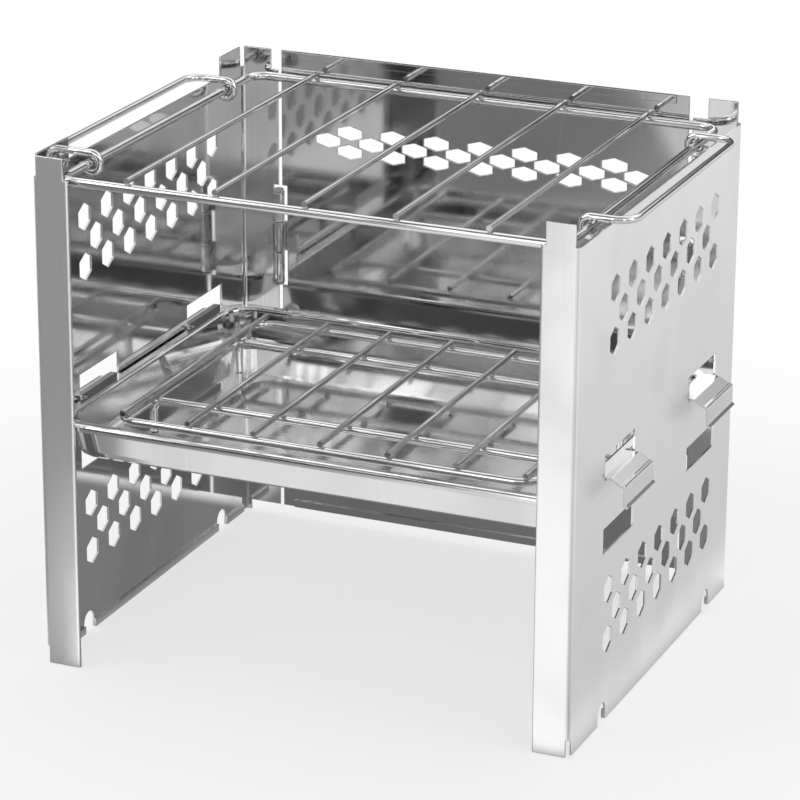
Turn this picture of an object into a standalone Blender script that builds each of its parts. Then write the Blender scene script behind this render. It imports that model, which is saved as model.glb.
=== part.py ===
"""A folding wood stove of thin polished sheet: a back panel, two side panels hinged to it, a hanging tray,
a wire fire grate standing in the tray and a wire top grate with two swinging handles."""

import math

import bmesh
import bpy
from mathutils import Matrix, Vector

MM = 0.001

# Body, in millimetres. X is across the front, Y runs from the front to the back, Z is up.
WIDTH = 205.0
DEPTH = 170.0
WALL_TOP = 185.0
TAB_RISE = 8.0
SHEET = 0.8
BEND_RADIUS = 1.4
FRONT_FLANGE = 13.5
REAR_FLANGE_LEFT = 16.0
REAR_FLANGE_RIGHT = 19.0
REAR_FLANGE = {-1: REAR_FLANGE_LEFT, 1: REAR_FLANGE_RIGHT}
PANEL_LIFT = 4.0
HEM = 3.0
HEM_GAP = 0.2
HEM_INSET = 5.0
HORN_FRONT = 26.0
HORN_REAR = 20.0
RELIEF = 1.5
TRIM_OVER = 5.0
CUT_OVER = 2.0
HEM_TRIM = 1.0
REAR_LIFT_END = 3.0
RELIEF_HEIGHT = 6.5
FRONT_TAB_STEP = 1.4
REAR_TAB = 11.5

# Hexagonal vents of the side walls: three staggered rows in an upper and a lower group.
VENT_ACROSS = 9.2
VENT_PITCH = 17.5
VENT_ROW = 9.45
VENT_COUNT = 7
VENT_GROUPS = (151.1, 40.2)
VENT_CENTRE = 4.0

# Long low vents of the back panel.
SLOT_LENGTH = 12.0
SLOT_HEIGHT = 5.1
SLOT_PITCH = 18.2
SLOT_ROW = 3.8
SLOT_COUNT = 8
SLOT_GROUPS = (159.1, 40.8)

# Windows that hold the tray, at two heights.
WINDOW_LENGTH = 30.5
WINDOW_HEIGHT = 9.5
WINDOW_SPREAD = 44.0
WINDOW_SILLS = (65.0, 92.5)
NOTCH_WIDTH = 8.0
NOTCH_HEIGHT = 7.6
NOTCH_SPREAD = 56.6
NOTCH_REACH = 4.0

# Hinges of rolled knuckles, two on each side.
KNUCKLE_OUTER = 2.4
KNUCKLE_BORE = 1.6
KNUCKLE_LENGTH = 12.0
KNUCKLE_GAP = 0.4
PIN_RADIUS = 1.35
PIN_HEAD_RADIUS = 2.1
PIN_HEAD = 0.9
PIN_CHAMFER = 0.3
PIN_END_PLAY = 0.3
SLIT = 1.5
HINGE_CLEAR = 0.5
HINGE_END_ROOM = 1.2
HINGE_BACK_CUT = 1.0
BORE_OVER = 3.0
TONGUE_START = 0.2
TONGUE_LAP = 1.0
HINGE_HEIGHTS = (45.0, 118.0)

# Tray.
TRAY_GAP = 0.6
TRAY_FRONT = 2.6
TRAY_REAR = 16.0
TRAY_RIM = 5.0
TRAY_LIP = 2.5
TRAY_RIM_BEND = 1.3
TRAY_CORNER_CLOSING = 0.55
TRAY_FLOOR_CURVE = ((0.0, 2.4), (0.5, 0.9), (1.5, 0.15), (2.8, 0.0))
TRAY_DEPTH = 14.0
TRAY_DRAFT = 2.0
TRAY_CORNER = 12.0
TRAY_REST = 0.3
HOOK_PLAY = 1.0
HOOK_STRAIGHT = 2.0
HOOK_REACH = 3.6
HOOK_DROP = 2.2
HOOK_BEAD = 1.4
HOOK_LIP = 7.0
HOOK_RELIEF = 1.8
HOOK_ROOT = 3.0
HOOK_BEND = 0.6
HOOK_FLARE = (1.2, 1.0)

# Fire grate.
FIRE_WIRE = 1.5
FIRE_ROD = 1.1
FIRE_HALF_X = 81.0
FIRE_HALF_Y = 60.0
FIRE_CORNER = 8.0
FIRE_HEIGHT = 12.0
FIRE_ROD_COUNT = 7
FIRE_ROD_INSET = 3.0
FIRE_FOOT_SPREAD = 36.0
FOOT_BEND = 4.0
FIRE_ROD_OVERHANG = 0.8
WELD_GAP = 0.1

# Top grate and its handles.
TOP_WIRE = 1.7
TOP_ROD = 1.1
TOP_HALF_X = 95.0
TOP_CORNER = 7.0
TOP_ROD_COUNT = 5
TOP_ROD_MARGIN = 27.0
TOP_PLAY = 2.4
TOP_ROD_OVERHANG = 0.6
HANDLE_WIRE = 1.4
HANDLE_REACH = 15.0
HANDLE_HORN_GAP = 2.5
HANDLE_BEND = 7.0
HANDLE_REST = 0.4
HANDLE_LEG_START = 1.0
EYE_CLEAR = 0.35
EYE_SWEEP = 265.0

FIRE_ROD_PITCH = 2 * (FIRE_HALF_X - FIRE_ROD_INSET) / (FIRE_ROD_COUNT - 1)
TOP_ROD_PITCH = 2 * (TOP_HALF_X - TOP_ROD_MARGIN) / (TOP_ROD_COUNT - 1)
HALF_X = WIDTH / 2
HALF_Y = DEPTH / 2
SIDE_NAMES = {-1: "left", 1: "right"}
TRAY_RIM_UNDER = WINDOW_SILLS[1] + TRAY_REST
TRAY_RIM_TOP = TRAY_RIM_UNDER + SHEET
TRAY_FLOOR_TOP = TRAY_RIM_TOP - TRAY_DEPTH
TRAY_HALF_X = HALF_X - SHEET - TRAY_GAP
TRAY_BACK_Y = HALF_Y - TRAY_REAR
TRAY_FRONT_Y = -HALF_Y + TRAY_FRONT
TRAY_CENTRE_Y = (TRAY_BACK_Y + TRAY_FRONT_Y) / 2
TRAY_HALF_Y = (TRAY_BACK_Y - TRAY_FRONT_Y) / 2
FIRE_LEVEL = TRAY_FLOOR_TOP + TRAY_REST + FIRE_HEIGHT
EYE_RADIUS = TOP_WIRE + EYE_CLEAR + HANDLE_WIRE
HANDLE_SPREAD = HALF_Y - HORN_FRONT - HANDLE_WIRE - HANDLE_HORN_GAP
TOP_LEVEL = WALL_TOP + HANDLE_REST + HANDLE_WIRE - EYE_RADIUS
HINGE_SPAN = 3 * KNUCKLE_LENGTH + 2 * KNUCKLE_GAP
HINGE_Y = HALF_Y - KNUCKLE_OUTER


for old in list(bpy.data.objects):
    bpy.data.objects.remove(old, do_unlink=True)
for old in list(bpy.data.collections):
    bpy.data.collections.remove(old)

parts = bpy.data.collections.new("folding_wood_stove")
helpers = bpy.data.collections.new("shaping_solids")
bpy.context.scene.collection.children.link(parts)
bpy.context.scene.collection.children.link(helpers)


def steel(name, shade, roughness):
    """A plain metal material for one sub-part."""
    material = bpy.data.materials.new(name)
    material.use_nodes = True
    shader = material.node_tree.nodes["Principled BSDF"]
    shader.inputs["Base Color"].default_value = (shade, shade, shade, 1.0)
    shader.inputs["Metallic"].default_value = 1.0
    shader.inputs["Roughness"].default_value = roughness
    return material


def add_mesh(name, bm, collection=parts):
    """An object of this mesh, which is drawn in millimetres, with its normals facing out."""
    bmesh.ops.recalc_face_normals(bm, faces=bm.faces)
    bmesh.ops.scale(bm, vec=(MM, MM, MM), verts=bm.verts)
    mesh = bpy.data.meshes.new(name)
    bm.to_mesh(mesh)
    bm.free()
    obj = bpy.data.objects.new(name, mesh)
    collection.objects.link(obj)
    return obj


def as_helper(obj):
    """Keeps a solid that only shapes a part out of the render."""
    obj.hide_render = True
    obj.display_type = "WIRE"
    return obj


def add_helper(name, bm):
    return as_helper(add_mesh(name, bm, helpers))


def box(bm, x, y, z):
    """Adds a box between pairs of bounds to bm."""
    sides = [Vector(sorted(pair)) for pair in (x, y, z)]
    size = Matrix.Diagonal([high - low for low, high in sides] + [1.0])
    centre = Matrix.Translation([(low + high) / 2 for low, high in sides])
    bmesh.ops.create_cube(bm, size=1.0, matrix=centre @ size)


def cylinder(bm, x, y, z, radius, sides=24):
    """Adds an upright cylinder to bm. z holds its two ends."""
    place = Matrix.Translation((x, y, (z[0] + z[1]) / 2))
    bmesh.ops.create_cone(bm, cap_ends=True, segments=sides, radius1=radius, radius2=radius,
                          depth=z[1] - z[0], matrix=place)


def hexagonal_bar(bm, centre, axis, length, height, reach):
    """Adds a six-sided bar along an axis, its points to the left and right of its centre line."""
    turn = Vector((0.0, 0.0, 1.0)).rotation_difference(Vector(axis)).to_matrix().to_4x4()
    across = Vector((0.0, 0.0, 1.0)).cross(Vector(axis))
    spread = Matrix.Scale(length / 2, 4, across) @ Matrix.Scale(height / math.sqrt(3), 4, (0, 0, 1))
    points_out = Matrix.Rotation(math.pi / 6, 4, "Z") if abs(axis[0]) > 0.5 else Matrix.Identity(4)
    place = Matrix.Translation(centre) @ spread @ turn @ points_out
    bmesh.ops.create_cone(bm, cap_ends=True, segments=6, radius1=1.0, radius2=1.0,
                          depth=reach, matrix=place)


def combine(obj, tool, operation):
    """Adds one exact Boolean step to obj."""
    step = obj.modifiers.new(operation.lower() + "_" + tool.name, "BOOLEAN")
    step.operation = operation
    step.solver = "EXACT"
    step.object = tool


def shell(obj, thickness, offset):
    """Gives an open surface its sheet thickness."""
    thick = obj.modifiers.new("sheet", "SOLIDIFY")
    thick.thickness = thickness * MM
    thick.offset = offset
    thick.use_even_offset = True


def strip(bm, path, step):
    """Adds the surface that a line of points sweeps over when it moves by step."""
    points = [bm.verts.new(point) for point in path]
    edges = [bm.edges.new(pair) for pair in zip(points, points[1:])]
    swept = bmesh.ops.extrude_edge_only(bm, edges=edges)["geom"]
    moved = [item for item in swept if isinstance(item, bmesh.types.BMVert)]
    bmesh.ops.translate(bm, vec=step, verts=moved)


def rounded_path(points, radius, steps=5, closed=False):
    """The points of a path in 2-D with its corners rounded."""
    rounded = []
    count = len(points)
    for i, corner in enumerate(points):
        if not closed and i in (0, count - 1):
            rounded.append(tuple(corner))
            continue
        here = Vector(corner)
        back = (Vector(points[i - 1]) - here).normalized()
        ahead = (Vector(points[(i + 1) % count]) - here).normalized()
        half = back.angle(ahead) / 2
        reach = radius / math.tan(half)
        centre = here + (back + ahead).normalized() * (radius / math.sin(half))
        start = here + back * reach - centre
        end = here + ahead * reach - centre
        for k in range(steps + 1):
            rounded.append(tuple(centre + start.slerp(end, k / steps).normalized() * radius))
    return rounded


def wire(name, points, radius, closed=False):
    """A round wire along a path, as one closed mesh. The points are in millimetres."""
    data = bpy.data.curves.new(name, "CURVE")
    data.dimensions = "3D"
    data.bevel_depth = radius * MM
    data.bevel_resolution = 2
    data.use_fill_caps = True
    spline = data.splines.new("POLY")
    spline.points.add(len(points) - 1)
    for target, point in zip(spline.points, points):
        target.co = (point[0] * MM, point[1] * MM, point[2] * MM, 1.0)
    spline.use_cyclic_u = closed
    obj = bpy.data.objects.new(name, mesh_of(name, data))
    parts.objects.link(obj)
    return obj


def finish(obj, material):
    """Gives a part its material and its shading."""
    obj.data.materials.clear()
    obj.data.materials.append(material)
    obj.data.shade_smooth()
    obj.data.set_sharp_from_angle(angle=math.radians(35))


# Side panels

def staggered(count, pitch, row, centre, middle):
    """Centres of three rows half a pitch apart. The middle row holds its own number of holes."""
    places = []
    for index in (-1, 0, 1):
        holes = middle if index == 0 else count
        for k in range(holes):
            places.append((centre + pitch * (k - (holes - 1) / 2), -row * index))
    return places


def floor_notches(name):
    """Upright arches that are open at the floor, as one plate of two 2-D outlines."""
    data = bpy.data.curves.new(name, "CURVE")
    data.dimensions = "2D"
    data.fill_mode = "BOTH"
    data.extrude = NOTCH_REACH * MM
    radius = NOTCH_WIDTH / 2
    for centre in (VENT_CENTRE - NOTCH_SPREAD, VENT_CENTRE + NOTCH_SPREAD):
        outline = [(centre - radius, -CUT_OVER), (centre + radius, -CUT_OVER)]
        for i in range(9):
            angle = math.pi * i / 8
            rise = NOTCH_HEIGHT - radius + radius * math.sin(angle)
            outline.append((centre + radius * math.cos(angle), rise))
        spline = data.splines.new("POLY")
        spline.points.add(len(outline) - 1)
        spline.use_cyclic_u = True
        for target, (u, v) in zip(spline.points, outline):
            target.co = (u * MM, v * MM, 0.0, 1.0)
    return data


def mesh_of(name, data):
    """The plain mesh that a curve draws, with its caps joined to its sides."""
    helper = bpy.data.objects.new(name + "_outline", data)
    bpy.context.scene.collection.objects.link(helper)
    bpy.context.view_layer.update()
    evaluated = helper.evaluated_get(bpy.context.evaluated_depsgraph_get())
    mesh = bpy.data.meshes.new_from_object(evaluated)
    bpy.data.objects.remove(helper)
    mesh.name = name
    bm = bmesh.new()
    bm.from_mesh(mesh)
    bmesh.ops.remove_doubles(bm, verts=bm.verts, dist=1e-6)
    bmesh.ops.recalc_face_normals(bm, faces=bm.faces)
    bm.to_mesh(mesh)
    bm.free()
    return mesh


def panel_path(side):
    """The plan of a bent side panel down the middle of its sheet, from its front hem to its rear flange."""
    middle = SHEET / 2
    wall_x = HALF_X - middle
    front_y = -HALF_Y + middle
    rear_y = HALF_Y - middle
    inner_x = HALF_X - FRONT_FLANGE + middle
    fold = (SHEET + HEM_GAP) / 2
    path = [(inner_x + HEM, front_y + 2 * fold)]
    for k in range(7):
        angle = math.pi / 2 + math.pi * k / 6
        path.append((inner_x + math.cos(angle) * fold, front_y + fold + math.sin(angle) * fold))
    corners = [path[-1], (wall_x, front_y), (wall_x, rear_y), (HALF_X - REAR_FLANGE[side], rear_y)]
    path += rounded_path(corners, BEND_RADIUS)[1:]
    return [(side * x, y, 0.0) for x, y in path]


def hinge_x(side):
    return side * (HALF_X - REAR_FLANGE[side] - SLIT / 2)


def hinge_slots(bm, side, own):
    """Cuts the sheet back beside both hinges. own is the way from the hinge axis to that sheet."""
    x = hinge_x(side)
    reach = KNUCKLE_OUTER + HINGE_CLEAR
    for z in HINGE_HEIGHTS:
        half = HINGE_SPAN / 2 + PIN_HEAD + HINGE_END_ROOM
        depth = (HALF_Y - BORE_OVER, HALF_Y + BORE_OVER)
        box(bm, (x - own * HINGE_BACK_CUT, x + own * reach), depth, (z - half, z + half))


def knuckle_rolls(bm, side, own, rows):
    """Adds knuckles, each still a solid roll."""
    x = hinge_x(side)
    for z in HINGE_HEIGHTS:
        for row in rows:
            middle = z + row * (KNUCKLE_LENGTH + KNUCKLE_GAP)
            span = (middle - KNUCKLE_LENGTH / 2, middle + KNUCKLE_LENGTH / 2)
            cylinder(bm, x, HINGE_Y, span, KNUCKLE_OUTER)


def knuckle_tongues(bm, side, own, rows):
    """Adds the strip of sheet that joins each knuckle to its panel."""
    x = hinge_x(side)
    reach = KNUCKLE_OUTER + HINGE_CLEAR + TONGUE_LAP
    for z in HINGE_HEIGHTS:
        for row in rows:
            middle = z + row * (KNUCKLE_LENGTH + KNUCKLE_GAP)
            span = (middle - KNUCKLE_LENGTH / 2, middle + KNUCKLE_LENGTH / 2)
            box(bm, (x + own * TONGUE_START, x + own * reach), (HALF_Y - SHEET, HALF_Y), span)


def knuckle_bores(bm, side):
    x = hinge_x(side)
    for z in HINGE_HEIGHTS:
        half = HINGE_SPAN / 2 + BORE_OVER
        cylinder(bm, x, HINGE_Y, (z - half, z + half), KNUCKLE_BORE)


def add_knuckles(obj, side, own, rows, tag):
    """Joins knuckles and their strips to a panel, then bores them for the pin."""
    steps = (("rolls", knuckle_rolls), ("tongues", knuckle_tongues))
    for label, build in steps:
        bm = bmesh.new()
        build(bm, side, own, rows)
        combine(obj, add_helper(tag + "_" + label, bm), "UNION")
    bm = bmesh.new()
    knuckle_bores(bm, side)
    combine(obj, add_helper(tag + "_bores", bm), "DIFFERENCE")


def panel_openings(bm, side):
    """Vents and tray windows, all cut through the side wall."""
    for height in VENT_GROUPS:
        for u, v in staggered(VENT_COUNT, VENT_PITCH, VENT_ROW, VENT_CENTRE, VENT_COUNT - 1):
            centre = (side * HALF_X, u, v + height)
            hexagonal_bar(bm, centre, (1, 0, 0), VENT_ACROSS * 2 / math.sqrt(3), VENT_ACROSS, NOTCH_REACH)
    for centre in (VENT_CENTRE - WINDOW_SPREAD, VENT_CENTRE + WINDOW_SPREAD):
        for sill in WINDOW_SILLS:
            wall = (side * (HALF_X - CUT_OVER), side * (HALF_X + CUT_OVER))
            span = (centre - WINDOW_LENGTH / 2, centre + WINDOW_LENGTH / 2)
            box(bm, wall, span, (sill, sill + WINDOW_HEIGHT))


def panel_trims(side):
    """The boxes that trim a panel's upper edge to its tabs, relieve its bends and lift its rear flange."""
    top = WALL_TOP + TAB_RISE + TRIM_OVER
    out = HALF_X + CUT_OVER
    front, rear = -HALF_Y - CUT_OVER, HALF_Y + CUT_OVER
    bend_x = HALF_X - RELIEF
    bend_y = HALF_Y - RELIEF - BEND_RADIUS
    wall_x = HALF_X - SHEET - CUT_OVER
    flange_y = HALF_Y - SHEET - BEND_RADIUS
    inner = HALF_X - FRONT_FLANGE
    rear_in = HALF_X - REAR_FLANGE[side]
    start, rear_start = inner - CUT_OVER, rear_in - CUT_OVER
    front_end, rear_end = -HALF_Y + 2 * CUT_OVER, HALF_Y - 2 * CUT_OVER
    fold_y = -HALF_Y + SHEET + HEM_GAP / 2
    trims = [((start, inner + FRONT_TAB_STEP), (front, front_end), (WALL_TOP, top)),
             ((start, bend_x), (fold_y, front_end), (WALL_TOP - HEM_TRIM, top)),
             ((rear_start, HALF_X - REAR_TAB - RELIEF), (rear_end, rear), (WALL_TOP, top)),
             ((rear_start, HALF_X - REAR_LIFT_END), (rear_end, rear), (-CUT_OVER, PANEL_LIFT)),
             ((bend_x, out), (front, -bend_y), (-CUT_OVER, RELIEF_HEIGHT)),
             ((bend_x, out), (front, -bend_y), (WALL_TOP, top)),
             ((bend_x, out), (bend_y, rear), (WALL_TOP, top))]
    if side > 0:
        trims.append(((wall_x, out), (-flange_y, flange_y), (WALL_TOP, top)))
    else:
        trims.append(((wall_x, out), (-HALF_Y + HORN_FRONT, HALF_Y - HORN_REAR), (WALL_TOP, top)))
    return trims


def side_panel(side):
    """One bent side panel with its tabs, vents, windows, floor hem and knuckles."""
    name = "side_panel_" + SIDE_NAMES[side]
    bm = bmesh.new()
    strip(bm, panel_path(side), (0.0, 0.0, WALL_TOP + TAB_RISE))
    obj = add_mesh(name, bm)
    shell(obj, SHEET, 0.0)

    for number, (x, y, z) in enumerate(panel_trims(side)):
        bm = bmesh.new()
        box(bm, (side * x[0], side * x[1]), y, z)
        combine(obj, add_helper(name + "_trim_" + str(number + 1), bm), "DIFFERENCE")

    bm = bmesh.new()
    hem = (side * (HALF_X - 2 * SHEET), side * (HALF_X - SHEET / 2))
    box(bm, hem, (-HALF_Y + HEM_INSET, HALF_Y - HEM_INSET), (0.0, HEM))
    combine(obj, add_helper(name + "_floor_hem", bm), "UNION")

    bm = bmesh.new()
    panel_openings(bm, side)
    combine(obj, add_helper(name + "_openings", bm), "DIFFERENCE")

    notches = bpy.data.objects.new(name + "_notches", mesh_of(name + "_notches", floor_notches(name)))
    notches.rotation_euler = (math.pi / 2, 0.0, math.pi / 2)
    notches.location = (side * HALF_X * MM, 0.0, 0.0)
    helpers.objects.link(notches)
    combine(obj, as_helper(notches), "DIFFERENCE")

    bm = bmesh.new()
    hinge_slots(bm, side, side)
    combine(obj, add_helper(name + "_hinge_slots", bm), "DIFFERENCE")
    add_knuckles(obj, side, side, (-1, 1), name)
    finish(obj, steel(name + "_steel", 0.72, 0.22))
    return obj


for hand in (-1, 1):
    side_panel(hand)


# Back panel

def back_panel():
    """The flat rear wall between the two hinge slits, hemmed along its top and bottom."""
    left_x = hinge_x(-1) + SLIT / 2
    right_x = hinge_x(1) - SLIT / 2
    top = WALL_TOP + TAB_RISE
    centre = (left_x + right_x) / 2
    bm = bmesh.new()
    box(bm, (left_x, right_x), (HALF_Y - SHEET, HALF_Y), (PANEL_LIFT, top))
    obj = add_mesh("back_panel", bm)

    bm = bmesh.new()
    hem_x = (left_x + HEM_INSET, right_x - HEM_INSET)
    hem_y = (HALF_Y - 2 * SHEET, HALF_Y - SHEET / 2)
    box(bm, hem_x, hem_y, (top - HEM, top))
    box(bm, hem_x, hem_y, (PANEL_LIFT, PANEL_LIFT + HEM))
    combine(obj, add_helper("back_hems", bm), "UNION")

    bm = bmesh.new()
    for height in SLOT_GROUPS:
        for u, v in staggered(SLOT_COUNT - 1, SLOT_PITCH, SLOT_ROW, centre, SLOT_COUNT):
            hexagonal_bar(bm, (u, HALF_Y, v + height), (0, 1, 0), SLOT_LENGTH, SLOT_HEIGHT, NOTCH_REACH)
    for side in (-1, 1):
        hinge_slots(bm, side, -side)
    combine(obj, add_helper("back_openings", bm), "DIFFERENCE")
    for side in (-1, 1):
        add_knuckles(obj, side, -side, (0,), "back_" + SIDE_NAMES[side])
    finish(obj, steel("back_panel_steel", 0.74, 0.16))


back_panel()


# Hinge pins

def hinge_pin(side, z, tag):
    """A pin with a head at both ends, turned about its own axis."""
    half = HINGE_SPAN / 2 + PIN_END_PLAY
    end = half + PIN_HEAD
    edge = PIN_HEAD_RADIUS - PIN_CHAMFER
    name = "hinge_pin_" + SIDE_NAMES[side] + "_" + tag
    head = [(0.0, end), (edge, end), (PIN_HEAD_RADIUS, end - PIN_CHAMFER)]
    upper = head + [(PIN_HEAD_RADIUS, half), (PIN_RADIUS, half)]
    profile = upper + [(r, -h) for r, h in reversed(upper)]
    mesh = bpy.data.meshes.new(name)
    points = [(r * MM, 0.0, h * MM) for r, h in profile]
    mesh.from_pydata(points, [(i, i + 1) for i in range(len(points) - 1)], [])
    obj = bpy.data.objects.new(name, mesh)
    obj.location = (hinge_x(side) * MM, HINGE_Y * MM, z * MM)
    parts.objects.link(obj)
    turn = obj.modifiers.new("turn", "SCREW")
    turn.steps = 24
    turn.render_steps = 24
    turn.use_merge_vertices = True
    turn.merge_threshold = 0.00001
    turn.use_smooth_shade = True
    turn.use_normal_calculate = True
    mesh.materials.append(steel(name + "_steel", 0.66, 0.3))


for hand in (-1, 1):
    for tag, height in zip(("lower", "upper"), HINGE_HEIGHTS):
        hinge_pin(hand, height, tag)


# Tray

def rounded_rectangle(half_x, half_y, radius, steps=6):
    """The corner-rounded outline of a rectangle about the origin."""
    corners = [(-half_x, -half_y), (half_x, -half_y), (half_x, half_y), (-half_x, half_y)]
    return rounded_path(corners, radius, steps, closed=True)


def tray_shell():
    """The pressed pan as an open surface: lip, rim, sloping wall and floor."""
    rim = TRAY_RIM_TOP
    floor = TRAY_FLOOR_TOP
    bend = TRAY_RIM_BEND
    turns = [math.pi / 6 * k for k in range(4)]
    quarter = [(bend * (1 - math.sin(turn)), bend * (1 - math.cos(turn))) for turn in turns]
    rings = [(0.0, rim - TRAY_LIP)]
    rings += [(across, rim - down) for across, down in reversed(quarter)]
    rings += [(TRAY_RIM - across, rim - down) for across, down in quarter]
    low_in = TRAY_RIM + TRAY_DRAFT
    rings += [(low_in + across, floor + up) for across, up in TRAY_FLOOR_CURVE]
    outlines = []
    for inset, z in rings:
        corner = TRAY_CORNER - inset * TRAY_CORNER_CLOSING
        outline = rounded_rectangle(TRAY_HALF_X - inset, TRAY_HALF_Y - inset, corner)
        outlines.append([Vector((x, y + TRAY_CENTRE_Y, z)) for x, y in outline])
    bm = bmesh.new()
    points = [bm.verts.new(point) for point in outlines[0]]
    edges = [bm.edges.new(pair) for pair in zip(points, points[1:] + points[:1])]
    for here, following in zip(outlines, outlines[1:]):
        drawn = bmesh.ops.extrude_edge_only(bm, edges=edges)["geom"]
        edges = [item for item in drawn if isinstance(item, bmesh.types.BMEdge) and item.is_boundary]
        for vert in (item for item in drawn if isinstance(item, bmesh.types.BMVert)):
            vert.co = following[min(range(len(here)), key=lambda i: (here[i] - vert.co).length)]
    bmesh.ops.contextual_create(bm, geom=edges)
    return bm


def hook_path():
    """The section of a tray hook down the middle of its sheet, from inside the rim to the end of its lip."""
    start = TRAY_HALF_X - HOOK_ROOT
    z = TRAY_RIM_TOP - SHEET / 2
    bend = HALF_X + HOOK_STRAIGHT
    drop = z - HOOK_DROP
    end = bend + HOOK_REACH + HOOK_BEAD
    corners = [(start, z), (bend, z), (bend + HOOK_REACH, drop), (end, drop),
               (end, drop - HOOK_LIP), (end + HOOK_FLARE[0], drop - HOOK_LIP - HOOK_FLARE[1])]
    return rounded_path(corners, HOOK_BEND, 3)


def tray():
    """The pan with its four hooks, each with a small relief cut at both ends."""
    obj = add_mesh("tray", tray_shell())
    floor_face = max(obj.data.polygons, key=lambda face: face.area)
    shell(obj, SHEET, -1.0 if floor_face.normal.z > 0 else 1.0)

    half = WINDOW_LENGTH / 2 - HOOK_PLAY
    places = [(side, VENT_CENTRE + shift) for side in (-1, 1) for shift in (-WINDOW_SPREAD, WINDOW_SPREAD)]
    cuts = bmesh.new()
    hooks = bmesh.new()
    for side, centre in places:
        edge = (side * (TRAY_HALF_X - HOOK_RELIEF), side * (TRAY_HALF_X + CUT_OVER))
        span = (centre - half - HOOK_RELIEF, centre + half + HOOK_RELIEF)
        box(cuts, edge, span, (TRAY_RIM_TOP - TRIM_OVER, TRAY_RIM_TOP + TRIM_OVER))
        path = [(side * x, centre - half, z) for x, z in hook_path()]
        strip(hooks, path, (0.0, 2 * half, 0.0))
    combine(obj, add_helper("tray_hook_reliefs", cuts), "DIFFERENCE")
    tool = add_helper("tray_hooks", hooks)
    shell(tool, SHEET, 0.0)
    combine(obj, tool, "UNION")
    finish(obj, steel("tray_steel", 0.76, 0.14))
    return obj


tray()


# Fire grate

def straight(name, start, end, radius):
    return wire(name, [start, end], radius)


def fire_grate():
    """A frame with rods laid across it, carried by two wires whose ends turn down as feet."""
    loop = [(x, y + TRAY_CENTRE_Y, FIRE_LEVEL)
            for x, y in rounded_rectangle(FIRE_HALF_X, FIRE_HALF_Y, FIRE_CORNER, 5)]
    finish(wire("fire_grate_frame", loop, FIRE_WIRE, closed=True), steel("fire_frame_steel", 0.7, 0.2))

    rod_z = FIRE_LEVEL + FIRE_WIRE + FIRE_ROD + WELD_GAP
    reach = FIRE_HALF_Y + FIRE_ROD_OVERHANG
    for number in range(FIRE_ROD_COUNT):
        x = FIRE_ROD_PITCH * (number - (FIRE_ROD_COUNT - 1) / 2)
        name = "fire_grate_rod_" + str(number + 1)
        rod = straight(name, (x, TRAY_CENTRE_Y - reach, rod_z), (x, TRAY_CENTRE_Y + reach, rod_z), FIRE_ROD)
        finish(rod, steel(name + "_steel", 0.7, 0.2))

    foot_x = FIRE_HALF_X - 2 * FIRE_WIRE - WELD_GAP
    foot_z = TRAY_FLOOR_TOP + TRAY_REST
    for tag, sign in (("front", -1), ("rear", 1)):
        y = TRAY_CENTRE_Y + sign * FIRE_FOOT_SPREAD
        corners = [(-foot_x, foot_z), (-foot_x, FIRE_LEVEL), (foot_x, FIRE_LEVEL), (foot_x, foot_z)]
        flat = rounded_path(corners, FOOT_BEND)
        name = "fire_grate_feet_" + tag
        finish(wire(name, [(u, y, v) for u, v in flat], FIRE_WIRE), steel(name + "_steel", 0.7, 0.2))


fire_grate()


# Top grate

def top_bounds():
    """The front and rear centre lines of the top frame, behind the front tabs and before the rear ones."""
    front = -HALF_Y + 2 * SHEET + HEM_GAP + TOP_PLAY + TOP_WIRE
    rear = HALF_Y - SHEET - TOP_PLAY - TOP_WIRE
    return front, rear


def top_grate():
    """A closed frame of heavier wire with thinner rods welded on top of it."""
    front, rear = top_bounds()
    centre = (front + rear) / 2
    half = (rear - front) / 2
    loop = [(x, y + centre, TOP_LEVEL) for x, y in rounded_rectangle(TOP_HALF_X, half, TOP_CORNER, 5)]
    finish(wire("top_grate_frame", loop, TOP_WIRE, closed=True), steel("top_frame_steel", 0.7, 0.18))
    rod_z = TOP_LEVEL + TOP_WIRE + TOP_ROD + WELD_GAP
    for number in range(TOP_ROD_COUNT):
        x = TOP_ROD_PITCH * (number - (TOP_ROD_COUNT - 1) / 2)
        name = "top_grate_rod_" + str(number + 1)
        ends = [(x, front - TOP_ROD_OVERHANG, rod_z), (x, rear + TOP_ROD_OVERHANG, rod_z)]
        rod = straight(name, ends[0], ends[1], TOP_ROD)
        finish(rod, steel(name + "_steel", 0.7, 0.18))


def handle(side):
    """A bail of round wire: an eye round the side rod at each end, two legs and a long grip."""
    front, rear = top_bounds()
    centre = (front + rear) / 2
    front_y, rear_y = centre - HANDLE_SPREAD, centre + HANDLE_SPREAD
    grip_x = TOP_HALF_X + HANDLE_REACH
    leg_z = TOP_LEVEL + EYE_RADIUS
    eye = []
    for k in range(17):
        angle = math.pi / 2 + math.radians(EYE_SWEEP) * (1 - k / 16)
        eye.append((TOP_HALF_X + EYE_RADIUS * math.cos(angle), TOP_LEVEL + EYE_RADIUS * math.sin(angle)))
    front_eye = [(x, front_y, z) for x, z in eye]
    rear_eye = [(x, rear_y, z) for x, z in reversed(eye)]
    leg_x = TOP_HALF_X + HANDLE_LEG_START
    plan = rounded_path([(leg_x, front_y), (grip_x, front_y), (grip_x, rear_y), (leg_x, rear_y)], HANDLE_BEND)
    path = front_eye + [(x, y, leg_z) for x, y in plan] + rear_eye
    path = [(side * x, y, z) for x, y, z in path]
    name = "handle_" + SIDE_NAMES[side]
    finish(wire(name, path, HANDLE_WIRE), steel(name + "_steel", 0.7, 0.18))


top_grate()
for hand in (-1, 1):
    handle(hand)


# Joint axes

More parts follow.
